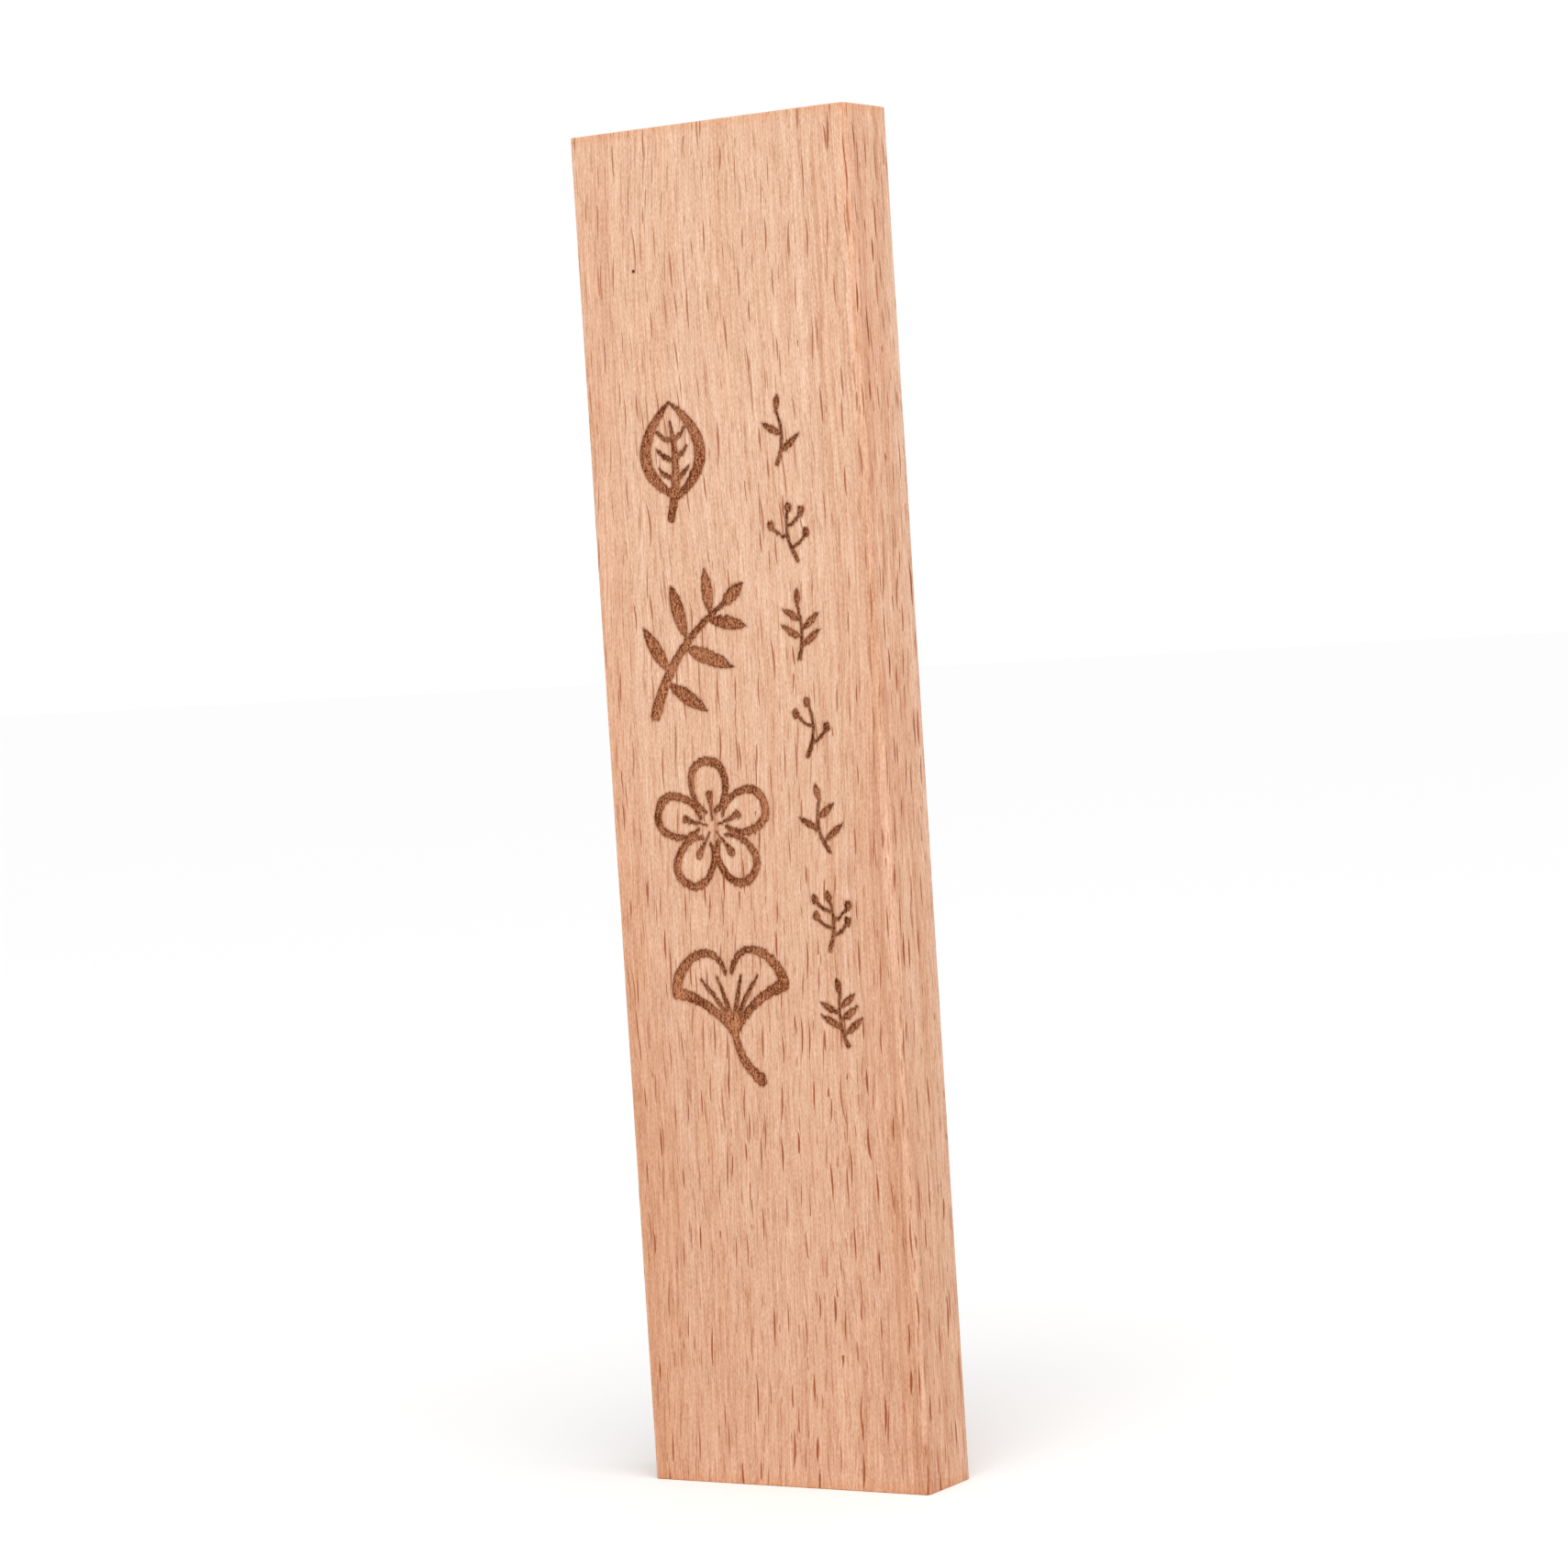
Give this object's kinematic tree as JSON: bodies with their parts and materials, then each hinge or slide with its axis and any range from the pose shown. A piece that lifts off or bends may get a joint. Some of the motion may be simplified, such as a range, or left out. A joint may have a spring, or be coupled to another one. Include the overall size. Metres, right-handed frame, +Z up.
{
  "type": "engraved wooden plaque",
  "caption": "Upright rectangular beech plaque with eased long edges and leaf and flower ornaments laser-engraved in two leaning columns on its front face.",
  "frame": {"origin": "centre of the foot, the sawn bottom end that the plaque stands on", "axes": "+Z up the board, front face towards -Y, +X to the right of the front face"},
  "size_m": [0.04, 0.01, 0.17],
  "materials": {
    "beech": "steamed beech, planed and sanded, unfinished, with fine darker ray flecks",
    "charred_beech": "laser-charred beech, matt brown, with the fibres showing through"
  },
  "bodies": {
    "root": {"beech_board": "beech", "charred_upright_leaf": "charred_beech", "charred_branch": "charred_beech", "charred_blossom": "charred_beech", "charred_fan_leaf": "charred_beech", "charred_sprig_1": "charred_beech", "charred_sprig_2": "charred_beech", "charred_sprig_3": "charred_beech", "charred_sprig_4": "charred_beech", "charred_sprig_5": "charred_beech", "charred_sprig_6": "charred_beech", "charred_sprig_7": "charred_beech"}
  },
  "joints": []
}
